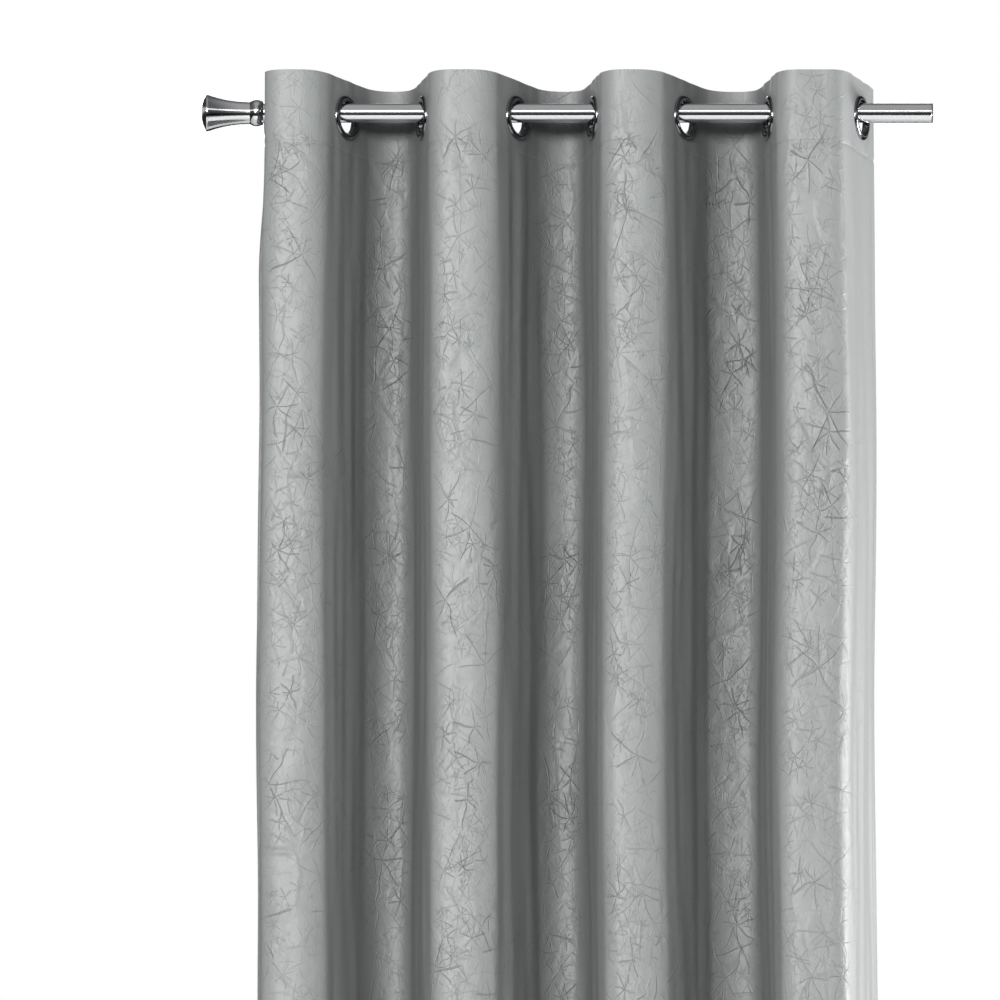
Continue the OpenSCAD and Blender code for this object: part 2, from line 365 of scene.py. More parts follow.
@dataclass(frozen=True)
class BrushedSteel:
    """Stainless steel, brushed along the rod: clean bands of light that run its whole length."""

    name: str = "brushed_stainless_steel"
    colour: str = "#D3D4D6"
    roughness: float = 0.13
    # Brush marks of about 0.1 mm are drawn 1.5 mm apart, so that they show.
    mark_mm: float = 1.5

    def make(self) -> bpy.types.Material:
        """Makes the material and returns it."""
        material, tree = new_material(self.name)
        place = add_node(tree, "ShaderNodeTexCoord").outputs["Object"]
        rings = add_node(tree, "ShaderNodeMapping", {"Vector": place, "Scale": (0.015, 1.0, 1.0)})
        marks = add_node(
            tree, "ShaderNodeTexNoise",
            {"Vector": rings.outputs["Vector"], "Scale": 1000 / self.mark_mm, "Detail": 3.0},
        )
        worn = add_node(
            tree, "ShaderNodeMapRange",
            {"Value": marks.outputs["Fac"], "To Min": self.roughness - 0.03, "To Max": self.roughness + 0.04},
        )
        bump = add_node(
            tree, "ShaderNodeBump", {"Height": marks.outputs["Fac"], "Strength": 0.1, "Distance": 0.00005}
        )
        finish_surface(tree, {
            "Base Color": linear(self.colour), "Metallic": 1.0, "Roughness": worn.outputs["Result"],
            "Normal": bump.outputs["Normal"],
        })
        return material


@dataclass(frozen=True)
class PlatedMetal:
    """Pressed steel with a bright plating: mirror gloss, darkened a little by the plating's tint."""

    name: str = "black_nickel_plated_steel"
    colour: str = "#7C7D80"
    roughness: float = 0.12
    # Pressing and tumbling leave waves a few millimetres long.
    wave_mm: float = 6.0

    def make(self) -> bpy.types.Material:
        """Makes the material and returns it."""
        material, tree = new_material(self.name)
        place = add_node(tree, "ShaderNodeTexCoord").outputs["Object"]
        waves = add_node(
            tree, "ShaderNodeTexNoise", {"Vector": place, "Scale": 1000 / self.wave_mm, "Detail": 2.0}
        )
        rough = add_node(
            tree, "ShaderNodeMapRange",
            {"Value": waves.outputs["Fac"], "To Min": self.roughness - 0.03, "To Max": self.roughness + 0.06},
        )
        bump = add_node(
            tree, "ShaderNodeBump", {"Height": waves.outputs["Fac"], "Strength": 0.06, "Distance": 0.0003}
        )
        finish_surface(tree, {
            "Base Color": linear(self.colour), "Metallic": 1.0, "Roughness": rough.outputs["Result"],
            "Normal": bump.outputs["Normal"],
        })
        return material


@dataclass(frozen=True)
class MouldedNylon:
    """Nylon, injection moulded: satin, with the faint grain of the mould."""

    name: str = "moulded_nylon"
    colour: str = "#1E1E1F"
    grain_mm: float = 0.8

    def make(self) -> bpy.types.Material:
        """Makes the material and returns it."""
        material, tree = new_material(self.name)
        place = add_node(tree, "ShaderNodeTexCoord").outputs["Object"]
        grain = add_node(
            tree, "ShaderNodeTexNoise", {"Vector": place, "Scale": 1000 / self.grain_mm, "Detail": 2.0}
        )
        bump = add_node(
            tree, "ShaderNodeBump", {"Height": grain.outputs["Fac"], "Strength": 0.25, "Distance": 0.0002}
        )
        finish_surface(tree, {
            "Base Color": linear(self.colour), "Roughness": 0.45, "IOR": 1.53,
            "Normal": bump.outputs["Normal"],
        })
        return material


@dataclass(frozen=True)
class PaintedFloor:
    """A pale painted floor: matt, with a slight roller texture."""

    name: str = "pale_painted_floor"
    colour: str = "#E9E9E8"

    def make(self) -> bpy.types.Material:
        """Makes the material and returns it."""
        material, tree = new_material(self.name)
        place = add_node(tree, "ShaderNodeTexCoord").outputs["Object"]
        roller = add_node(tree, "ShaderNodeTexNoise", {"Vector": place, "Scale": 300.0})
        bump = add_node(
            tree, "ShaderNodeBump", {"Height": roller.outputs["Fac"], "Strength": 0.1, "Distance": 0.0003}
        )
        finish_surface(tree, {
            "Base Color": linear(self.colour), "Roughness": 0.6, "Normal": bump.outputs["Normal"],
        })
        return material


# ---------------------------------------------------------------- meshes

def mesh_piece(
    name: str, points: Grid, faces: Grid, materials: Sequence[bpy.types.Material],
    sharp_degrees: Optional[float] = None,
) -> bpy.types.Object:
    """Makes an object from corner points and faces with four corners each.

    Args:
        name: The piece's name.
        points: Corner points, one row each.
        faces: Point numbers, one row a face. A triangle repeats its last corner.
        materials: The piece's materials.
        sharp_degrees: Edges that turn more than this stay sharp. None leaves all smooth.

    Returns:
        The new object, linked to the scene.
    """
    mesh = bpy.data.meshes.new(name)
    mesh.from_pydata(
        points.tolist(), [], [list(dict.fromkeys(face)) for face in faces.tolist()]
    )
    mesh.shade_smooth()
    if sharp_degrees is not None:
        mesh.set_sharp_from_angle(angle=math.radians(sharp_degrees))
    for material in materials:
        mesh.materials.append(material)
    piece = bpy.data.objects.new(name, mesh)
    bpy.context.scene.collection.objects.link(piece)
    return piece


def turned(
    name: str, profile: Sequence[tuple[float, float]], origin: Point, axis: Point,
    material: bpy.types.Material, closed: bool = False, segments: int = 96,
) -> bpy.types.Object:
    """Makes a piece turned on a lathe.

    Args:
        name: The piece's name.
        profile: Each point's place along the axis and its radius.
        origin: Where the axis starts.
        axis: Direction of the axis.
        material: The piece's material.
        closed: Whether the profile's last point joins its first.
        segments: Faces round the axis.

    Returns:
        The new object.
    """
    along = Vector(axis).normalized()
    across = along.orthogonal().normalized()
    third = along.cross(across)
    points: list[list[float]] = []
    rings: list[list[int]] = []
    for place, radius in profile:
        centre = Vector(origin) + along * place
        ring = []
        for i in range(segments if radius > 1e-7 else 1):
            turn = 2 * math.pi * i / segments
            ring.append(len(points))
            points.append(list(centre + (across * math.cos(turn) + third * math.sin(turn)) * radius))
        rings.append(ring * (segments if radius <= 1e-7 else 1))
    faces = []
    for a, b in zip(rings, rings[1:] + (rings[:1] if closed else [])):
        for i in range(segments):
            j = (i + 1) % segments
            corners = list(dict.fromkeys([a[i], b[i], b[j], a[j]]))
            if len(corners) > 2:
                faces.append(corners + corners[-1:] * (4 - len(corners)))
    return mesh_piece(name, np.array(points), np.array(faces), [material], sharp_degrees=38)


# ---------------------------------------------------------------- cloth

class GradientNoise:
    """Smooth noise from about -1 to 1 over the flat cloth."""

    def __init__(self, seed: int, size: int = 256) -> None:
        """Draws the lattice of slopes.

        Args:
            seed: Seed of the lattice.
            size: Cells before the noise repeats.
        """
        turns = np.random.default_rng(seed).uniform(0, 2 * math.pi, (size, size))
        self.size = size
        self.slope_u, self.slope_v = np.cos(turns), np.sin(turns)

    def at(self, u: Grid, v: Grid) -> Grid:
        """Reads the noise.

        Args:
            u: First coordinate, in cells.
            v: Second coordinate, in cells.

        Returns:
            The noise at each place.
        """
        cell_u, cell_v = np.floor(u).astype(int), np.floor(v).astype(int)
        du, dv = u - cell_u, v - cell_v
        ease_u, ease_v = (d * d * d * (d * (d * 6 - 15) + 10) for d in (du, dv))

        def corner(i: int, j: int) -> Grid:
            """Height that one corner of the cell gives."""
            a, b = (cell_u + i) % self.size, (cell_v + j) % self.size
            return self.slope_u[a, b] * (du - i) + self.slope_v[a, b] * (dv - j)

        top = corner(0, 0) * (1 - ease_u) + corner(1, 0) * ease_u
        low = corner(0, 1) * (1 - ease_u) + corner(1, 1) * ease_u
        return 1.5 * (top * (1 - ease_v) + low * ease_v)


class PinchField:
    """Creases that fan out from pinched points all over the flat cloth."""

    def __init__(self, seed: int, width: float, height: float, size: int = 128) -> None:
        """Draws the points.

        Args:
            seed: Seed of the points.
            width: Their usual distance across the cloth.
            height: Their usual distance up the cloth.
            size: Points before the pattern repeats.
        """
        rng = np.random.default_rng(seed)
        self.width, self.height, self.size = width, height, size
        self.jitter_u, self.jitter_v = rng.uniform(0.1, 0.9, (2, size, size))
        self.phase, self.swing = rng.uniform(0, 2 * math.pi, (2, size, size))
        self.creases = rng.integers(3, 7, (size, size))
        self.strength = rng.uniform(-0.6, 1.0, (size, size))

    def at(self, s: Grid, z: Grid) -> Grid:
        """Reads the relief.

        Args:
            s: Distances along the cloth.
            z: Heights.

        Returns:
            The height of the creases for sides that slope by about 1.
        """
        u, v = s / self.width, z / self.height
        cell_u, cell_v = np.floor(u).astype(int), np.floor(v).astype(int)
        total = np.zeros_like(s)
        for i in (-1, 0, 1):
            for j in (-1, 0, 1):
                a, b = (cell_u + i) % self.size, (cell_v + j) % self.size
                du = (u - cell_u - i - self.jitter_u[a, b]) * self.width
                dv = (v - cell_v - j - self.jitter_v[a, b]) * self.height
                reach, turn = np.hypot(du, dv), np.arctan2(dv, du)
                wave = (turn * self.creases[a, b] / 2 + self.phase[a, b]
                        + 0.9 * np.sin(turn + self.swing[a, b]))
                fade = np.clip(1 - (reach / (0.95 * self.width)) ** 2, 0, 1) ** 2
                total += self.strength[a, b] * reach * (np.abs(np.sin(wave)) - 0.6) * fade
        return total


def ease(value: Grid, start: float, end: float) -> Grid:
    """Rises smoothly from 0 at start to 1 at end."""
    t = np.clip((value - start) / (end - start), 0, 1)
    return t * t * (3 - 2 * t)


@dataclass
class PlanLine:
    """The cloth's middle line seen from above, as runs that are straight or bend evenly."""

    lengths: list[float] = field(default_factory=list)
    headings: list[tuple[float, float]] = field(default_factory=list)
    starts: list[tuple[float, float, float]] = field(default_factory=list)
    end: tuple[float, float, float] = (0.0, 0.0, 0.0)

    def add(self, length: float, start: float, end: float) -> float:
        """Adds a run.

        Args:
            length: Length along the cloth.
            start: Heading at its start, in radians.
            end: Heading at its end.

        Returns:
            The line's length with the run.
        """
        s, x, y = self.end
        self.lengths.append(length)
        self.headings.append((start, end))
        self.starts.append(self.end)
        if abs(end - start) < SAME:
            x, y = x + length * math.cos(start), y + length * math.sin(start)
        else:
            radius = length / (end - start)
            x += radius * (math.sin(end) - math.sin(start))
            y -= radius * (math.cos(end) - math.cos(start))
        self.end = (s + length, x, y)
        return self.end[0]

    def at(self, s: Grid) -> tuple[Grid, Grid, Grid]:
        """Places points of the cloth.

        Args:
            s: Distances along the cloth.

        Returns:
            X, Y and heading at each distance.
        """
        x, y, heading = np.zeros_like(s), np.zeros_like(s), np.zeros_like(s)
        for length, (a, b), (s0, x0, y0) in zip(self.lengths, self.headings, self.starts):
            here = (s >= s0 - SAME) & (s <= s0 + length + SAME)
            d = s[here] - s0
            turn = a + (b - a) * d / length
            heading[here] = turn
            if abs(b - a) < SAME:
                x[here], y[here] = x0 + d * math.cos(a), y0 + d * math.sin(a)
            else:
                radius = length / (b - a)
                x[here] = x0 + radius * (np.sin(turn) - math.sin(a))
                y[here] = y0 - radius * (np.cos(turn) - math.cos(a))
        return x, y, heading


@dataclass
class ClothLayers:
    """How far the cloth's two faces lie from its middle line, in metres. Minus is the room side."""

    front: float = -1.5 * MM
    one_back: float = -0.7 * MM
    hem_back: float = 0.4 * MM
    header_back: float = 1.5 * MM


@dataclass
class Panel:
    """The curtain panel: its folds, header, hems and creases."""

    flank_w: tuple[float, ...] = (0.040, 0.116, 0.066, 0.116, 0.066, 0.116, 0.066, 0.070)
    flank_degrees: tuple[float, ...] = (-86, 60, -78, 60, -78, 60, -78, 70)
    crest_w: tuple[float, ...] = (0.020, 0.028, 0.024, 0.048)
    floor_w: tuple[float, ...] = (0.008, 0.008, 0.018)
    fold_depth: float = 0.124
    side_margin: float = 0.050
    side_hem_w: float = 0.015
    bottom_hem_h: float = 0.080
    header_h: float = 0.095
    hole_r: float = 0.0232
    bend_ease: float = 0.008
    ring_r: float = 0.0286
    layers: ClothLayers = field(default_factory=ClothLayers)
    fold_step: float = 3.0 * MM
    flank_step: float = 6.0 * MM
    row_step: float = 3.6 * MM
    seam_step: float = 0.6 * MM

    def __post_init__(self) -> None:
        """Lays out the plan line and takes the heights from the CAD parts."""
        self.line = PlanLine()
        self.eyelet_s: list[float] = []
        self.rest_s: list[tuple[float, float]] = []
        self.crest_a_s = 0.0
        amp = self.fold_depth / 2
        count = len(self.flank_w)
        for k, (width, degrees) in enumerate(zip(self.flank_w, self.flank_degrees)):
            turn, side = math.radians(abs(degrees)), math.copysign(1.0, degrees)
            straight = amp / math.tan(turn / 2) - width / 2
            radius = (width / 2 - straight * math.cos(turn)) / math.sin(turn)
            heading = side * turn
            if k == 0:
                self.line.add(self.side_margin, heading, heading)
            else:
                before = self.crest_w[(k - 1) // 2] if k % 2 else self.floor_w[(k - 2) // 2]
                self.line.add(before / 2, 0, 0)
                self.line.add(radius * turn, 0, heading)
                self.line.add(straight, heading, heading)
            self.eyelet_s.append(self.line.end[0])
            if k == count - 1:
                self.line.add(self.side_margin, heading, heading)
            else:
                self.line.add(straight, heading, heading)
                self.line.add(radius * turn, heading, 0)
                after = self.floor_w[(k - 1) // 2] if k % 2 else self.crest_w[k // 2]
                s = self.line.add(after / 2, 0, 0)
                if k == 0:
                    self.crest_a_s = s
        low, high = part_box("face_bends_1")
        x, y, _ = self.line.at(np.array([self.crest_a_s]))
        self.shift_x = high[0] - float(x[0])
        self.shift_y = -amp - float(y[0])
        self.top_z, self.bottom_z = high[2], low[2]
        ring_low, ring_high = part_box("eyelet_front_1")
        self.eyelet_z = (ring_low[2] + ring_high[2]) / 2
        self.header_z = self.top_z - self.header_h
        self.hem_z = self.bottom_z + self.bottom_hem_h
        self.width = self.line.end[0]
        self.ease_bends()
        self.noise = [GradientNoise(seed) for seed in range(10)]
        self.pinches = [(0.06, PinchField(31, 0.095, 0.130)), (0.085, PinchField(32, 0.045, 0.060))]

    def ease_bends(self) -> None:
        """Rounds the plan line's bends as cloth does, and keeps its straight runs."""
        step, spread = 0.5 * MM, self.bend_ease
        reach = int(4 * spread / step)
        fine = np.arange(-reach, round(self.width / step) + reach + 1) * step
        inside = np.clip(fine, 0, self.width)
        x, y, heading = self.line.at(inside)
        x, y = x + (fine - inside) * np.cos(heading), y + (fine - inside) * np.sin(heading)
        bell = np.exp(-0.5 * (np.arange(-reach, reach + 1) * step / spread) ** 2)
        bell /= bell.sum()
        self.fine_s = fine[reach:-reach]
        self.fine_x, self.fine_y = np.convolve(x, bell, "valid"), np.convolve(y, bell, "valid")
        self.fine_heading = np.arctan2(np.gradient(self.fine_y), np.gradient(self.fine_x))

    def plan(self, s: Grid) -> tuple[Grid, Grid, Grid]:
        """Gives X, Y and heading of the rounded line at distances along the cloth."""
        lines = (self.fine_x, self.fine_y, self.fine_heading)
        return tuple(np.interp(s, self.fine_s, line) for line in lines)

    def eyelet(self, k: int) -> tuple[Vector, float]:
        """Gives eyelet k's centre and the cloth's heading there."""
        x, y, heading = self.line.at(np.array([self.eyelet_s[k]]))
        centre = Vector((float(x[0]) + self.shift_x, float(y[0]) + self.shift_y, self.eyelet_z))
        return centre, float(heading[0])

    def columns(self) -> Grid:
        """Spaces the columns: close on folds and eyelets, wider on flanks, and one on each split."""
        fixed = {0.0, self.width, self.side_hem_w, self.side_hem_w + self.seam_step,
                 self.width - self.side_hem_w, self.width - self.side_hem_w - self.seam_step, *self.eyelet_s}
        marks = sorted(fixed)
        columns = [0.0]
        for a, b in zip(marks, marks[1:]):
            fine = np.arange(a, b, 0.5 * MM)
            _, _, heading = self.line.at(fine)
            near = np.min(np.abs(fine[:, None] - np.array(self.eyelet_s)[None, :]), axis=1) < 0.036
            straight = np.abs(np.gradient(heading)) < 1e-6
            flank = straight & (np.abs(heading) > 0.1) & ~near
            density = np.where(flank, 1 / self.flank_step, 1 / self.fold_step)
            total = np.concatenate([[0], np.cumsum(density * 0.5 * MM)])
            steps = max(1, round(total[-1]))
            ends = np.append(fine, b)
            columns += list(np.interp(np.linspace(0, total[-1], steps + 1)[1:], total, ends))
        columns = np.array(columns)
        for mark in marks:
            columns[np.argmin(np.abs(columns - mark))] = mark
        return columns

    def rows(self) -> Grid:
        """Spaces the rows, from the top edge down, with close pairs where layers end."""
        marks = [self.top_z, self.header_z, self.header_z - self.seam_step, self.hem_z + self.seam_step,
                 self.hem_z, self.bottom_z]
        rows = [self.top_z]
        for a, b in zip(marks, marks[1:]):
            steps = max(1, round((a - b) / self.row_step))
            rows += list(np.linspace(a, b, steps + 1)[1:])
        return np.array(rows)

    def crush(self, s: Grid, z: Grid, heading: Grid) -> Grid:
        """Raises the crush creases and the slack between them.

        Args:
            s: Distances along the cloth.
            z: Heights.
            heading: The plan line's headings.

        Returns:
            How far each point stands out towards the room.
        """
        slack = 2.0 * MM * self.noise[2].at(s / 0.060, z / 0.16)
        pinched = sum(steepness * field.at(s, z) for steepness, field in self.pinches)
        streaks = 1.5 * MM * self.noise[7].at(s / 0.022, z / 0.30) * ease(np.abs(heading), 0.15, 1.1)
        seam = -0.7 * MM * np.exp(-((z - self.header_z + 0.3 * MM) / (2.0 * MM)) ** 2)
        return (slack + pinched) * self.crush_weight(s, z, heading) + streaks * self.off_rings(s, z) + seam

    def off_rings(self, s: Grid, z: Grid) -> Grid:
        """Falls to 0 under the eyelet rings, where the cloth is pressed flat."""
        reach = np.min([np.hypot(s - e, z - self.eyelet_z) for e in self.eyelet_s], axis=0)
        return ease(reach, self.ring_r + 2 * MM, self.ring_r + 16 * MM)

    def crush_weight(self, s: Grid, z: Grid, heading: Grid) -> Grid:
        """Says how much of the crush shows: most on crests and troughs, least on the pulled flanks."""
        bend = 1 - ease(np.abs(heading), 0.35, 1.2)
        weight = (0.2 + 0.8 * bend) * (0.8 + 0.5 * self.noise[6].at(s / 0.12, z / 0.2))
        weight *= 1 - 0.85 * ease(s, self.eyelet_s[-1] - 0.02, self.eyelet_s[-1] + 0.01)
        weight *= 1 - 0.6 * (1 - ease(s, self.eyelet_s[0] - 0.01, self.eyelet_s[0] + 0.02))
        weight *= 0.45 + 0.55 * (1 - ease(z, self.header_z - 0.01, self.header_z + 0.02))
        return weight * self.off_rings(s, z)

    def place(self, s: Grid, z: Grid, off: Grid) -> Grid:
        """Places points of the hung cloth.

        Args:
            s: Distances along the cloth.
            z: Heights.
            off: Distance behind the middle line.

        Returns:
            Points, with their coordinates on the last axis.
        """
        x, y, heading = self.plan(s)
        x, y = x + self.shift_x, y + self.shift_y
        out = self.crush(s, z, heading) - off
        hang = ease(self.header_z - z, -0.01, 0.35)
        sway = self.noise[8].at(x / 0.30, z / 0.55) * 5.0 * MM * hang
        lean = self.noise[9].at(x / 0.25, z / 0.45) * 4.5 * MM * hang
        # The left edge stands out a little past its eyelet, and more so below the header.
        past = s - self.eyelet_s[0]
        sway = sway - 7.0 * MM * ease(past, 0.030, 0.048) * (1 - ease(past, 0.050, 0.095))
        sway -= 7.5 * MM * (1 - ease(past, 0.0, 0.09)) * ease(self.eyelet_z - z, 0.045, 0.20)
        return np.stack([
            x + np.sin(heading) * out + sway, y - np.cos(heading) * out + lean, z + 0 * x,
        ], axis=-1)

    def back_layers(self, s: Grid, z: Grid) -> Grid:
        """Gives how far behind the middle line the cloth's back lies."""
        back = np.full(s.shape, self.layers.one_back)
        side = (s <= self.side_hem_w + SAME) | (s >= self.width - self.side_hem_w - SAME)
        back[side | (z <= self.hem_z + SAME)] = self.layers.hem_back
        back[z >= self.header_z - SAME] = self.layers.header_back
        return back


@dataclass
class ClothSheet:
    """The whole panel as one grid of points, cut into stretches between the eyelets."""

    panel: Panel

    def __post_init__(self) -> None:
        """Places every point, with the eyelet holes opened."""
        panel = self.panel
        self.column_s, self.row_z = panel.columns(), panel.rows()
        s, z = np.meshgrid(self.column_s, self.row_z)
        mid_s = (s[:-1, :-1] + s[1:, 1:]) / 2
        mid_z = (z[:-1, :-1] + z[1:, 1:]) / 2
        self.keep = np.ones(mid_s.shape, bool)
        for e in panel.eyelet_s:
            self.keep &= np.hypot(mid_s - e, mid_z - panel.eyelet_z) > panel.hole_r
        around = np.zeros(s.shape, int)
        for i in (0, 1):
            for j in (0, 1):
                around[i:s.shape[0] - 1 + i, j:s.shape[1] - 1 + j] += self.keep
        for e in panel.eyelet_s:
            reach = np.hypot(s - e, z - panel.eyelet_z)
            rim = (reach < 2 * panel.hole_r) & (around > 0) & (around < 4)
            split = rim & (np.abs(s - e) < SAME)
            turn = np.arctan2(z - panel.eyelet_z, s - e)
            s[rim & ~split] = (e + panel.hole_r * np.cos(turn))[rim & ~split]
            z[rim] = (panel.eyelet_z + panel.hole_r * np.sin(turn))[rim]
        self.s, self.z = s, z
        self.front = panel.place(s, z, np.full(s.shape, panel.layers.front))
        self.back = panel.place(s, z, panel.back_layers(s, z))
        self.crush = panel.crush_weight(s, z, panel.plan(s)[2])
        self.normal = self.facing_room(self.front)
        self.back_normal = -self.facing_room(self.back)

    @staticmethod
    def facing_room(points: Grid) -> Grid:
        """Finds the unit normals of a grid of points, on the room side."""
        across, down = np.gradient(points, axis=1), np.gradient(points, axis=0)
        normal = np.cross(down, across)
        return normal / np.maximum(np.linalg.norm(normal, axis=-1, keepdims=True), 1e-12)

    def cut(
        self, name: str, first: int, last: int, satin: bpy.types.Material, facing: bpy.types.Material
    ) -> bpy.types.Object:
        """Makes a closed piece from a run of columns.

        Args:
            name: The piece's name.
            first: First column.
            last: Last column.
            satin: Material of the face cloth and its hems.
            facing: Material of the header's back.

        Returns:
            The new object.
        """
        span = slice(first, last + 1)
        front, back = self.front[:, span].reshape(-1, 3), self.back[:, span].reshape(-1, 3)
        front_n, back_n = self.normal[:, span].reshape(-1, 3), self.back_normal[:, span].reshape(-1, 3)
        flat = np.stack([self.s[:, span], self.z[:, span] - self.panel.bottom_z], axis=-1).reshape(-1, 2)
        count = len(front)
        index = np.arange(count).reshape(-1, last - first + 1)
        keep = self.keep[:, first:last]
        a, b, c, d = (
            index[i:index.shape[0] - 1 + i, j:index.shape[1] - 1 + j][keep]
            for i, j in ((0, 0), (0, 1), (1, 1), (1, 0))
        )
        room = np.stack([a, d, c, b], axis=1)
        wall_side = np.stack([a, b, c, d], axis=1) + count
        sides = np.concatenate([room[:, [i, (i + 1) % 4]] for i in range(4)])
        codes = sides[:, 0] * count + sides[:, 1]
        alone = ~np.isin(codes, sides[:, 1] * count + sides[:, 0])
        u, v = sides[alone].T
        rims = np.stack([v, u, u + count, v + count], axis=1)
        faces = np.concatenate([room, wall_side, rims])
        points = np.concatenate([front, back])
        used, faces = np.unique(faces, return_inverse=True)
        faces = faces.reshape(-1, 4)
        points, flats = points[used], np.concatenate([flat, flat])[used]
        normals = np.concatenate([front_n, back_n])[used][faces]
        corners = points[faces[len(faces) - len(rims):]]
        rim_n = np.cross(corners[:, 2] - corners[:, 0], corners[:, 3] - corners[:, 1])
        rim_n /= np.maximum(np.linalg.norm(rim_n, axis=1, keepdims=True), 1e-12)
        normals[len(faces) - len(rims):] = rim_n[:, None, :]
        piece = mesh_piece(name, points, faces, [satin, facing])
        mesh = piece.data
        uv = mesh.uv_layers.new(name="flat_cut")
        uv.data.foreach_set("uv", flats[faces].reshape(-1).astype(np.float32))
        crush = self.crush[:, span].reshape(-1)
        weight = mesh.attributes.new("crush", "FLOAT", "POINT")
        weight.data.foreach_set("value", np.concatenate([crush, crush])[used].astype(np.float32))
        header = flat[a][:, 1] > self.panel.header_z - self.panel.bottom_z + 1e-6
        slots = np.zeros(len(faces), np.int32)
        slots[len(room):2 * len(room)] = header
        mesh.polygons.foreach_set("material_index", slots)
        mesh.normals_split_custom_set(normals.reshape(-1, 3).tolist())
        return piece


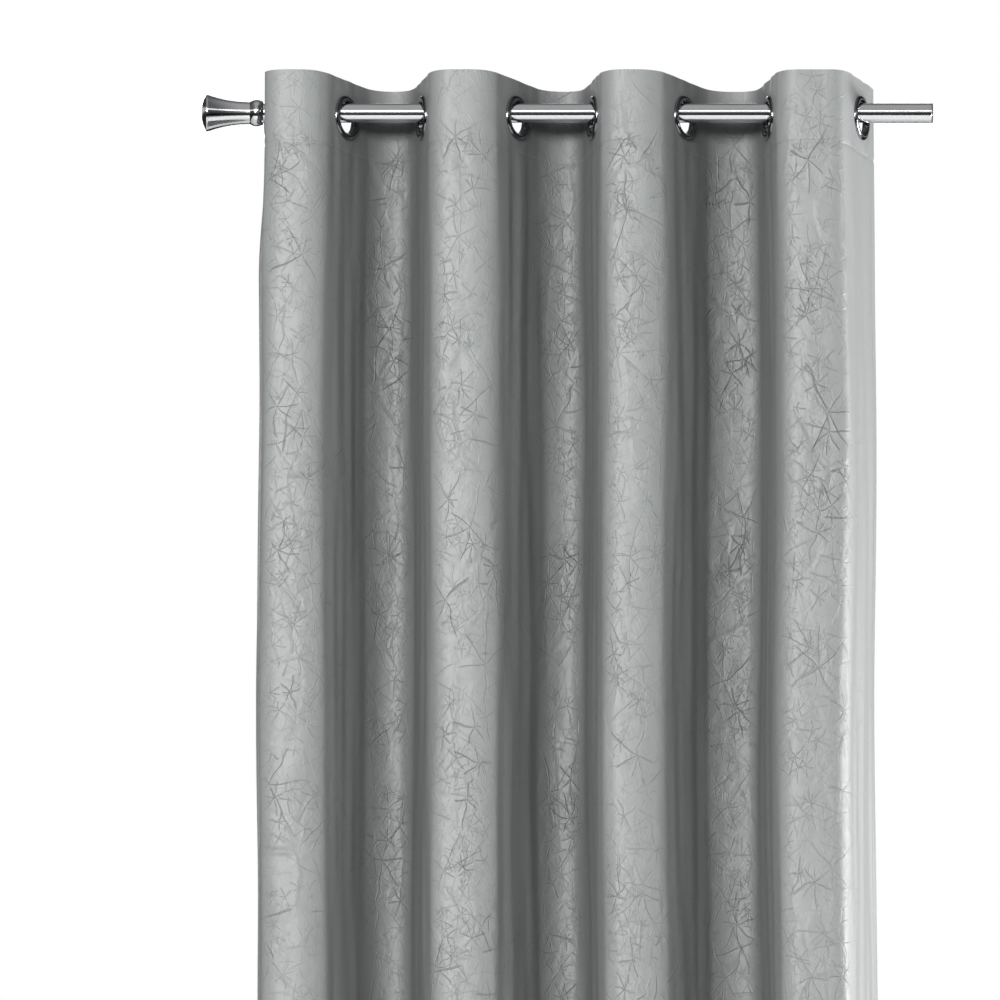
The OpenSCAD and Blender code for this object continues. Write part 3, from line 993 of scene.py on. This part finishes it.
@dataclass
class PanelMaker:
    """Cuts the panel into pieces; each piece at an edge hangs from its one fold, and the pieces between two
    folds stay as cut.
    """

    panel: Panel
    satin: bpy.types.Material
    facing: bpy.types.Material
    thread: bpy.types.Material
    iron: bpy.types.Material
    stitch_gap: float = 3.6 * MM
    stitch_len: float = 2.8 * MM
    weight_r: float = 0.011
    weight_t: float = 0.0024
    weight_inset: float = 0.005

    def build(self) -> list[bpy.types.Object]:
        """Builds the panel's pieces and returns them."""
        sheet = ClothSheet(self.panel)
        at = [0] + [int(np.argmin(np.abs(sheet.column_s - s))) for s in self.panel.eyelet_s]
        at.append(len(sheet.column_s) - 1)
        eyelets = len(self.panel.eyelet_s)
        pieces = []
        for k in range(eyelets + 1):
            edges = {0: "cloth_left_edge", eyelets: "cloth_right_edge"}
            name = edges.get(k, f"cloth_{k}_to_{k + 1}")
            start, end = sheet.column_s[at[k]], sheet.column_s[at[k + 1]]
            piece = sheet.cut(name, at[k], at[k + 1], self.satin, self.facing)
            folds = [n for n in (k, k + 1) if 1 <= n <= eyelets]
            if len(folds) == 1:
                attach(piece, f"fold_{folds[0]}")
            else:
                self.join(piece, k)
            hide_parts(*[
                f"{layer}_{n}" for n in folds
                for layer in ("face_flank", "face_bends", "stiffener", "facing")
            ])
            pieces += [piece, self.stitched(k, folds, start, end)]
        return pieces

    def stitched(self, k: int, folds: list[int], start: float, end: float) -> bpy.types.Object:
        """Sews a piece's header seam and hems.

        Args:
            k: The piece's number.
            folds: Folds that the piece joins.
            start: Where it starts along the cloth.
            end: Where it ends.

        Returns:
            Its stitches, as one piece.
        """
        panel, gap = self.panel, self.stitch_gap
        across = np.arange(start + gap, end - gap / 2, gap)
        runs = [
            (across, np.full_like(across, z), self.stitch_len, 0.0)
            for z in (panel.header_z + 3 * MM, panel.hem_z - 3 * MM)
        ]
        if len(folds) == 1:
            upright = np.arange(panel.hem_z + gap, panel.header_z - gap, gap)
            edge = panel.side_hem_w - 2.5 * MM
            beside = np.full_like(upright, edge if k == 0 else panel.width - edge)
            runs.append((beside, upright, 0.0, self.stitch_len))
        points, faces = [], []
        for s, z, ds, dz in runs:
            rings = self.stitches(s, z, ds, dz)
            index = np.arange(rings.shape[0] * 30).reshape(-1, 5, 6) + sum(map(len, points))
            on = np.roll(index, -1, axis=2)
            sides = np.stack([index[:, :-1], on[:, :-1], on[:, 1:], index[:, 1:]], axis=-1)
            faces.append(sides.reshape(-1, 4))
            for ring in (index[:, 0, ::-1], index[:, -1]):
                faces += [ring[:, [0, 1, 2, 3]], ring[:, [0, 3, 4, 5]]]
            points.append(rings.reshape(-1, 3))
        piece = mesh_piece(f"stitches_{k}", np.concatenate(points), np.concatenate(faces), [self.thread])
        if len(folds) == 1:
            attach(piece, f"fold_{folds[0]}")
        else:
            self.join(piece, k)
        return piece

    def stitches(self, s: Grid, z: Grid, ds: float, dz: float) -> Grid:
        """Lays stitches on the cloth's front.

        Args:
            s: Middle of each stitch along the cloth.
            z: Its height.
            ds: Length of a stitch along the cloth.
            dz: Length of a stitch up the cloth.

        Returns:
            Five rings of six points for each stitch.
        """
        front = np.full_like(s, self.panel.layers.front)
        first = self.panel.place(s - ds / 2, z - dz / 2, front)
        last = self.panel.place(s + ds / 2, z + dz / 2, front)
        out = self.panel.place(s, z, front - MM) - self.panel.place(s, z, front)
        out /= np.linalg.norm(out, axis=-1, keepdims=True)
        along = last - first
        aside = np.cross(along / np.linalg.norm(along, axis=-1, keepdims=True), out)
        turn = np.arange(6) * math.pi / 3
        round_ = np.cos(turn)[:, None] * out[:, None, :] + np.sin(turn)[:, None] * aside[:, None, :]
        shares = np.array([0.0, 0.2, 0.5, 0.8, 1.0])
        radii = np.array([0.06, 0.20, 0.26, 0.20, 0.06]) * MM
        centres = first[:, None, :] + shares[None, :, None] * along[:, None, :]
        return centres[:, :, None, :] + radii[None, :, None, None] * round_[:, None, :, :]

    def weighted(self, k: int) -> list[bpy.types.Object]:
        """Sews a weight in a pocket behind a bottom corner.

        Args:
            k: Number of the corner's fold.

        Returns:
            The weight and its pocket.
        """
        panel = self.panel
        inset = self.weight_inset + self.weight_r
        s = np.array([inset if k == 1 else panel.width - inset])
        z = np.array([panel.bottom_z + panel.bottom_hem_h / 2])
        back = panel.layers.hem_back
        place = panel.place(s, z, np.array([back]))[0]
        behind = panel.place(s, z, np.array([back + MM]))[0] - place
        side = "left" if k == 1 else "right"
        start, axis = tuple(map(float, place)), tuple(map(float, behind))
        weight = turned(
            f"weight_{side}", [(0.1 * MM, 0.0), (0.1 * MM, self.weight_r), (self.weight_t, self.weight_r),
                               (self.weight_t, 0.0)], start, axis, self.iron,
        )
        pocket = turned(
            f"weight_pocket_{side}",
            [(-0.3 * MM, 0.0), (-0.3 * MM, self.weight_r + 5 * MM), (0.4 * MM, self.weight_r + 4.4 * MM),
             (1.4 * MM, self.weight_r + 2 * MM), (self.weight_t + 0.3 * MM, self.weight_r - 0.6 * MM),
             (self.weight_t + 0.7 * MM, self.weight_r - 3 * MM), (self.weight_t + 0.8 * MM, 0.0)],
            start, axis, self.satin,
        )
        uv = pocket.data.uv_layers.new(name="flat_cut")
        for loop in pocket.data.loops:
            spot = pocket.data.vertices[loop.vertex_index].co
            uv.data[loop.index].uv = (spot.x + spot.y, spot.z - panel.bottom_z)
        for piece in (weight, pocket):
            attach(piece, f"fold_{k}")
        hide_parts(f"hem_weight_{side}")
        return [weight, pocket]

    def join(self, piece: bpy.types.Object, k: int) -> None:
        """Bakes a piece's place into its mesh; it does not bend the piece between folds k and k + 1.

        Args:
            piece: The piece whose place is baked.
            k: Number of the fold on its left. The eyelets found from it are not used.
        """
        left, left_turn = self.panel.eyelet(k - 1)
        right, right_turn = self.panel.eyelet(k)
        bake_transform(piece)


@dataclass
class EyeletSet:
    """A two-part eyelet: a domed front ring with its barrel, and a back ring."""

    panel: Panel
    plating: bpy.types.Material
    hole_r: float = 0.020
    front_r: float = 0.0286
    front_h: float = 0.0034
    back_r: float = 0.0276
    back_h: float = 0.0024
    barrel_wall: float = 0.001

    def build(self, k: int) -> list[bpy.types.Object]:
        """Builds eyelet k's two rings.

        Args:
            k: Number of the eyelet, from 1.

        Returns:
            The front and back rings.
        """
        centre, turn = self.panel.eyelet(k - 1)
        behind = (-math.sin(turn), math.cos(turn), 0.0)
        front, back = self.panel.layers.front, self.panel.layers.header_back
        half = (self.front_r - self.hole_r) / 2
        mid = self.hole_r + half
        dome = [
            (front - self.front_h * math.sin(t) ** 0.8, mid + half * math.cos(t))
            for t in (math.pi * i / 18 for i in range(19))
        ]
        end = back + self.back_h
        outer_r = self.hole_r + self.barrel_wall
        barrel = [(end - 0.6 * MM, self.hole_r), (end, self.hole_r + 0.5 * MM), (end, outer_r),
                  (front, outer_r), (front + 0.3 * MM, mid)]
        ring = turned(f"eyelet_{k}_front", dome + barrel, tuple(centre), behind, self.plating, closed=True)
        half_back = (self.back_r - self.hole_r - self.barrel_wall) / 2
        mid_back = self.back_r - half_back
        crown = [
            (back + self.back_h * math.sin(t) ** 0.8, mid_back - half_back * math.cos(t))
            for t in (math.pi * i / 14 for i in range(15))
        ]
        washer = turned(f"eyelet_{k}_back", crown, tuple(centre), behind, self.plating, closed=True)
        for piece, node in ((ring, f"eyelet_front_{k}"), (washer, f"eyelet_back_{k}")):
            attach(piece, f"fold_{k}")
            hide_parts(node)
        return [ring, washer]


@dataclass
class Rod:
    """The rod tube."""

    steel: bpy.types.Material
    radius: float = 0.0125
    wall: float = 0.0012

    def build(self) -> bpy.types.Object:
        """Builds the tube and returns it."""
        low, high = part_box("rod_tube")
        ease_r = 0.25 * MM
        inner = self.radius - self.wall
        length = high[0] - low[0]
        profile = [(0.0, inner), (0.0, self.radius - ease_r), (ease_r, self.radius)]
        profile += [(length * i / 24, self.radius) for i in range(1, 24)]
        profile += [(length - ease_r, self.radius), (length, self.radius - ease_r), (length, inner)]
        tube = turned("rod", profile, (low[0], 0.0, 0.0), (1, 0, 0), self.steel, closed=True)
        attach(tube, "rod")
        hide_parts("rod_tube")
        return tube


@dataclass
class Finial:
    """The trumpet finial: a collar, a flared bell and a low dome."""

    steel: bpy.types.Material
    neck_r: float = 0.0142
    rim_r: float = 0.0237
    flare_len: float = 0.053
    rim_w: float = 0.003
    dome_h: float = 0.0064
    collar_r: float = 0.0172
    collar_len: float = 0.017
    socket_r: float = 0.01255
    socket_depth: float = 0.014

    def build(self) -> list[bpy.types.Object]:
        """Builds the finial's visible pieces and returns them."""
        neck_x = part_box("finial_collar")[0][0]
        rise = self.rim_r - self.neck_r
        sweep_r = (self.flare_len ** 2 + rise ** 2) / (2 * rise)
        bell = [(0.0, 0.0)]
        for i in range(41):
            place = self.flare_len * i / 40
            bell.append((place, self.neck_r + sweep_r - math.sqrt(sweep_r ** 2 - place ** 2)))
        edge = self.rim_w / 2
        bell += [
            (self.flare_len + edge + edge * math.sin(t), self.rim_r - edge * 0.5 + edge * 0.5 * math.cos(t))
            for t in (math.radians(-60 + 150 * i / 10) for i in range(11))
        ]
        bell.append((self.flare_len + self.rim_w, 0.0))
        bulge = self.collar_r - self.neck_r
        bulge_r = (self.collar_len ** 2 / 4 + bulge ** 2) / (2 * bulge)
        collar = []
        for i in range(25):
            place = self.collar_len * i / 24
            out = math.sqrt(bulge_r ** 2 - (place - self.collar_len / 2) ** 2)
            collar.append((place, self.collar_r - bulge_r + out))
        collar += [(self.collar_len, self.socket_r), (self.collar_len - self.socket_depth, self.socket_r),
                   (self.collar_len - self.socket_depth, 0.0), (0.0, 0.0)]
        base_r = self.rim_r - 1 * MM
        ball_r = (base_r ** 2 + self.dome_h ** 2) / (2 * self.dome_h)
        dome = [(0.0, 0.0)]
        for i in range(21):
            r = base_r * (1 - i / 20)
            dome.append((self.dome_h - ball_r + math.sqrt(ball_r ** 2 - r ** 2), r))
        pieces = [
            turned("finial_trumpet", bell, (neck_x, 0, 0), (-1, 0, 0), self.steel),
            turned("finial_cap", dome, (neck_x - self.flare_len - self.rim_w, 0, 0), (-1, 0, 0), self.steel),
            turned("finial_neck_ring", collar, (neck_x, 0, 0), (1, 0, 0), self.steel),
        ]
        for piece, node in zip(pieces, ("finial_bell", "finial_dome", "finial_collar")):
            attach(piece, "finial")
            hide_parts(node)
        return pieces


# ---------------------------------------------------------------- studio

class LightSide(Enum):
    """Where a studio light stands."""

    KEY = "key"
    RIGHT = "right"
    BACK = "back"


@dataclass
class Studio:
    """Camera, floor and soft lights."""

    pitch_degrees: float = 12.0
    distance: float = 20.0
    frame_w: float = 1.27
    aim: Point = (-0.536, 0.0, -0.505)
    sensor_w: float = 0.036

    def camera(self) -> None:
        """Stands the camera far off and below, looking up, so that verticals stay upright."""
        pitch = math.radians(self.pitch_degrees)
        data = bpy.data.cameras.new("camera")
        data.sensor_width = 1000 * self.sensor_w
        data.lens = 1000 * self.sensor_w * self.distance / self.frame_w
        data.clip_start, data.clip_end = 0.1, 500.0
        camera = bpy.data.objects.new("camera", data)
        camera.location = Vector(self.aim) - Vector((0, math.cos(pitch), math.sin(pitch))) * self.distance
        camera.rotation_euler = (math.pi / 2 + pitch, 0, 0)
        bpy.context.scene.collection.objects.link(camera)
        bpy.context.scene.camera = camera

    def floor(self, floor_z: float, paint: bpy.types.Material) -> None:
        """Lays the floor under the panel.

        Args:
            floor_z: Height of the floor.
            paint: The floor's material.
        """
        half, steps = 3.0, 12
        line = np.linspace(-half, half, steps + 1)
        x, y = np.meshgrid(line + self.aim[0], line)
        points = np.stack([x, y, np.full(x.shape, floor_z)], axis=-1).reshape(-1, 3)
        index = np.arange(len(points)).reshape(steps + 1, steps + 1)
        faces = np.stack([index[:-1, :-1], index[:-1, 1:], index[1:, 1:], index[1:, :-1]], axis=-1)
        mesh_piece("floor", points, faces.reshape(-1, 4), [paint])

    def light(self, side: LightSide, place: Point, width: float, height: float, watts: float) -> None:
        """Hangs a soft box that faces the panel.

        Args:
            side: Which light it is.
            place: Where it hangs.
            width: Its width.
            height: Its height.
            watts: Its power.
        """
        data = bpy.data.lights.new(f"{side.value}_light", "AREA")
        data.shape, data.size, data.size_y, data.energy = "RECTANGLE", width, height, watts
        lamp = bpy.data.objects.new(f"{side.value}_light", data)
        lamp.location = place
        lamp.rotation_euler = (Vector(self.aim) - Vector(place)).to_track_quat("-Z", "Z").to_euler()
        lamp.visible_camera = False
        bpy.context.scene.collection.objects.link(lamp)

    def surroundings(self, strength: float) -> None:
        """Makes a white cyclorama that is dimmer as a light than as a backdrop.

        Args:
            strength: Brightness of the surroundings as a light.
        """
        world = bpy.data.worlds.new("white_cyclorama")
        world.use_nodes = True
        tree = world.node_tree
        tree.nodes.clear()
        direction = add_node(tree, "ShaderNodeTexCoord").outputs["Generated"]
        split = add_node(tree, "ShaderNodeSeparateXYZ", {"Vector": direction})
        rise = add_node(
            tree, "ShaderNodeMapRange", {"Value": split.outputs["Z"], "From Min": -1.0, "From Max": 1.0}
        )
        bands = add_node(tree, "ShaderNodeValToRGB", {"Fac": rise.outputs["Result"]})
        stops = bands.color_ramp.elements
        stops[0].position, stops[0].color = 0.0, (0.12,) * 3 + (1.0,)
        stops[1].position, stops[1].color = 1.0, (1.2,) * 3 + (1.0,)
        # From below: the lit floor, the dark gap under the wall, the wall, its strip light, and the ceiling.
        levels = ((-0.95, 0.08), (-0.78, 0.3), (-0.66, 0.3), (-0.50, 0.01), (-0.24, 0.01), (-0.16, 0.4),
                  (0.16, 0.6), (0.19, 14.0), (0.27, 14.0), (0.30, 0.6), (0.45, 1.1))
        for height, level in levels:
            stop = stops.new((height + 1) / 2)
            stop.color = (level,) * 3 + (1.0,)
        behind = add_node(
            tree, "ShaderNodeMapRange",
            {"Value": split.outputs["Y"], "From Min": -0.1, "From Max": 0.4, "To Min": 1.0, "To Max": 0.35},
        )
        level = add_node(
            tree, "ShaderNodeMath",
            {0: bands.outputs["Color"], 1: behind.outputs["Result"]}, operation="MULTIPLY",
        )
        aside = add_node(tree, "ShaderNodeMath", {0: split.outputs["X"]}, operation="ABSOLUTE").outputs[0]
        narrow = add_node(
            tree, "ShaderNodeMapRange",
            {"Value": aside, "From Min": 0.15, "From Max": 0.5, "To Min": strength, "To Max": 0.3 * strength},
        ).outputs["Result"]
        lit = add_node(tree, "ShaderNodeMath", {0: level.outputs[0], 1: narrow}, operation="MULTIPLY")
        seen = add_node(tree, "ShaderNodeLightPath").outputs["Is Camera Ray"]
        shown = add_node(
            tree, "ShaderNodeMix", {"Factor": seen, "A": lit.outputs[0], "B": 1.0}, data_type="FLOAT"
        )
        sky = add_node(
            tree, "ShaderNodeBackground",
            {"Color": (1, 1, 1, 1), "Strength": shown.outputs["Result"]},
        )
        add_node(tree, "ShaderNodeOutputWorld", {"Surface": sky.outputs["Background"]})
        bpy.context.scene.world = world


def dress_cad_node(name: str, material: bpy.types.Material) -> None:
    """Gives a CAD piece its material.

    Args:
        name: The node's name.
        material: Its material.
    """
    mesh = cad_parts[name].data
    mesh.materials.clear()
    mesh.materials.append(material)


def main() -> None:
    """Builds the curtain, the rod and the studio in order."""
    logging.basicConfig(level=logging.INFO, format="%(message)s")
    bpy.context.scene.view_settings.view_transform = "Standard"
    satin, facing, thread = CrushedSatin().make(), PlainFacing().make(), SewingThread().make()
    steel, plating, nylon = BrushedSteel().make(), PlatedMetal().make(), MouldedNylon().make()
    zinc = PlatedMetal(name="zinc_plated_steel", colour="#A8A9AB", roughness=0.3).make()
    iron = PlatedMetal(name="cast_iron_weight", colour="#5A5B5C", roughness=0.55, wave_mm=1.5).make()

    studio = Studio()
    studio.camera()
    studio.floor(CAD_BOX[0][2] - 4 * MM, PaintedFloor().make())
    studio.surroundings(0.4)
    studio.light(LightSide.KEY, (-1.65, -4.25, 0.4), 1.0, 1.0, 250)
    studio.light(LightSide.RIGHT, (3.4, 0.55, -0.6), 0.5, 2.4, 250)
    studio.light(LightSide.BACK, (-0.5, 4.0, 1.0), 2.5, 2.5, 60)
    log.info("studio: camera, floor and lights")

    panel = Panel()
    maker = PanelMaker(panel, satin, facing, thread, iron)
    for piece in maker.build() + maker.weighted(1) + maker.weighted(len(panel.eyelet_s)):
        log.info("cloth: %s, %d faces", piece.name, len(piece.data.polygons))
    eyelets = EyeletSet(panel, plating)
    for k in range(1, len(panel.eyelet_s) + 1):
        for piece in eyelets.build(k):
            log.info("eyelet: %s", piece.name)
    log.info("rod: %s", Rod(steel).build().name)
    for piece in Finial(steel).build():
        log.info("finial: %s", piece.name)
    for node, material in (("rod_end_plug", nylon), ("finial_plug", nylon), ("finial_screw", zinc)):
        dress_cad_node(node, material)
        log.info("kept: %s", node)


if __name__ == "__main__":
    main()
